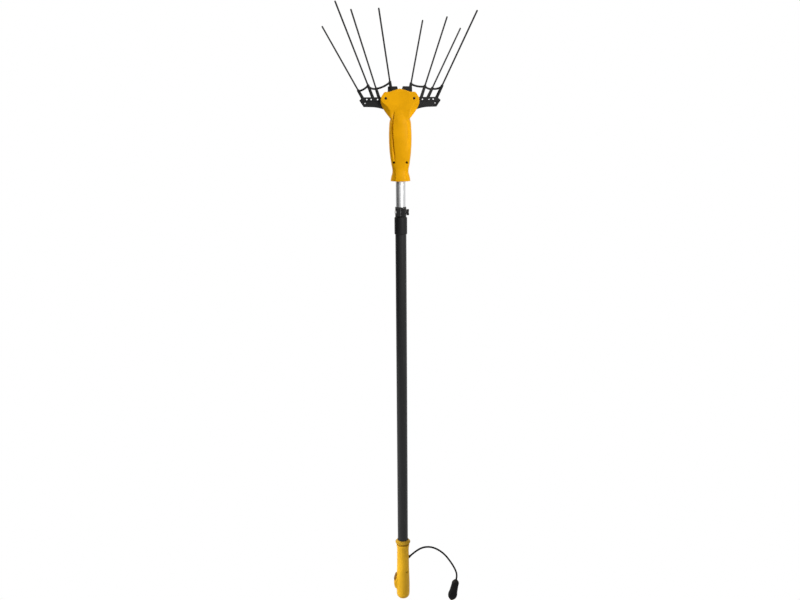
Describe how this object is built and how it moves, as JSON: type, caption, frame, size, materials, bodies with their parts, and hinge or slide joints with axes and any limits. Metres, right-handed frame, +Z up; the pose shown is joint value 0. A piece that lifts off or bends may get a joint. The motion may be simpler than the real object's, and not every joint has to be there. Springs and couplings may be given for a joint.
{
  "type": "olive harvester",
  "caption": "Hand-held electric olive harvester: telescopic pole with a motor head that swings two combs of carbon rods, clamp, grip with rocker switch and a short supply lead.",
  "frame": {"origin": "middle of the hand grip, on the axis of the pole", "axes": "+Z up along the pole to the head, +X to the right seen from the front, +Y to the back"},
  "size_m": [0.4617, 0.2711, 1.978],
  "materials": {
    "yellow_shell": "smooth moulded",
    "black_nylon": "moulded, fine grain",
    "carbon_rod": "satin",
    "black_tube": "black anodised",
    "bright_tube": "bright drawn",
    "steel": "machined",
    "blackened_steel": "blackened",
    "bronze": "sintered",
    "motor_steel": "zinc plated",
    "magnet": "sintered",
    "copper": "turned",
    "carbon_brush": "pressed",
    "grey_plastic": "moulded",
    "switch_brown": "moulded",
    "black_rubber": "matt",
    "brass_contact": "turned"
  },
  "bodies": {
    "pole": {"outer_tube": "black_tube", "clamp_body": "black_nylon", "clamp_nut": "steel", "handle_left_shell": "yellow_shell", "handle_right_shell": "yellow_shell", "handle_collar": "yellow_shell", "handle_screws": "blackened_steel", "switch_body": "switch_brown", "cable_gland": "black_rubber", "supply_cable": "black_rubber", "supply_plug": "black_nylon", "plug_contact": "brass_contact", "pole_lead": "black_rubber"},
    "head": {"inner_tube": "bright_tube", "inner_tube_guide": "grey_plastic", "head_front_shell": "yellow_shell", "head_rear_shell": "yellow_shell", "head_screws": "blackened_steel", "pivot_screws": "blackened_steel", "left_pivot_pin": "steel", "right_pivot_pin": "steel", "crank_bearings": "steel", "gearbox_case": "grey_plastic", "gearbox_cover": "grey_plastic", "motor_can": "motor_steel", "motor_magnets": "magnet", "motor_end_cap": "grey_plastic", "motor_brushes": "carbon_brush"},
    "left_comb": {"left_comb": "black_nylon", "left_pivot_bush": "bronze", "drive_fork": "steel", "fork_screws": "blackened_steel", "left_tine_1": "carbon_rod", "left_tine_2": "carbon_rod", "left_tine_3": "carbon_rod", "left_tine_4": "carbon_rod"},
    "right_comb": {"right_comb": "black_nylon", "right_pivot_bush": "bronze", "right_tine_1": "carbon_rod", "right_tine_2": "carbon_rod", "right_tine_3": "carbon_rod", "right_tine_4": "carbon_rod"},
    "rotor": {"motor_rotor": "motor_steel", "motor_shaft": "steel", "motor_commutator": "copper", "sun_gear": "steel"},
    "crank": {"crankshaft": "steel", "crank_roller": "steel", "planet_carrier": "steel"},
    "planet_1": {"planet_gear_1": "steel"},
    "planet_2": {"planet_gear_2": "steel"},
    "planet_3": {"planet_gear_3": "steel"},
    "knob": {"clamp_knob": "black_nylon", "clamp_bolt": "steel"},
    "rocker": {"switch_rocker": "switch_brown"}
  },
  "joints": [
    {"name": "pole_extend", "type": "slide", "parent": "pole", "child": "head", "axis": [0, 0, 1], "range_m": [-0.07, 0.83], "deforming": ["pole_lead"]},
    {"name": "left_comb_swing", "type": "hinge", "parent": "head", "child": "left_comb", "pos_m": [-0.0425, 0, 1.5574], "axis": [0, 1, 0], "range_deg": [-8, 8]},
    {"name": "right_comb_swing", "type": "hinge", "parent": "head", "child": "right_comb", "pos_m": [0.0425, 0, 1.5574], "axis": [0, 1, 0], "range_deg": [-8, 8]},
    {"name": "motor_spin", "type": "hinge", "parent": "head", "child": "rotor", "pos_m": [0, 0, 1.425], "axis": [0, 0, 1], "continuous": true},
    {"name": "crank_spin", "type": "hinge", "parent": "head", "child": "crank", "pos_m": [0, 0, 1.49], "axis": [0, 0, 1], "continuous": true},
    {"name": "planet_1_spin", "type": "hinge", "parent": "crank", "child": "planet_1", "pos_m": [0.01125, 0, 1.468], "axis": [0, 0, 1], "continuous": true},
    {"name": "planet_2_spin", "type": "hinge", "parent": "crank", "child": "planet_2", "pos_m": [-0.00562, 0.00974, 1.468], "axis": [0, 0, 1], "continuous": true},
    {"name": "planet_3_spin", "type": "hinge", "parent": "crank", "child": "planet_3", "pos_m": [-0.00562, -0.00974, 1.468], "axis": [0, 0, 1], "continuous": true},
    {"name": "clamp_knob_turn", "type": "hinge", "parent": "pole", "child": "knob", "pos_m": [0.021, -0.022, 1.21715], "axis": [1, 0, 0], "range_deg": [0, 540]},
    {"name": "switch_rock", "type": "hinge", "parent": "pole", "child": "rocker", "pos_m": [-0.02403, 0, -0.0591], "axis": [0, 1, 0], "range_deg": [-7, 7]}
  ],
  "couplings": [
    {"joint": "right_comb_swing", "follows": "left_comb_swing", "ratio": -1},
    {"joint": "crank_spin", "follows": "motor_spin", "ratio": 0.2},
    {"joint": "planet_1_spin", "follows": "motor_spin", "ratio": -0.53333},
    {"joint": "planet_2_spin", "follows": "motor_spin", "ratio": -0.53333},
    {"joint": "planet_3_spin", "follows": "motor_spin", "ratio": -0.53333}
  ]
}
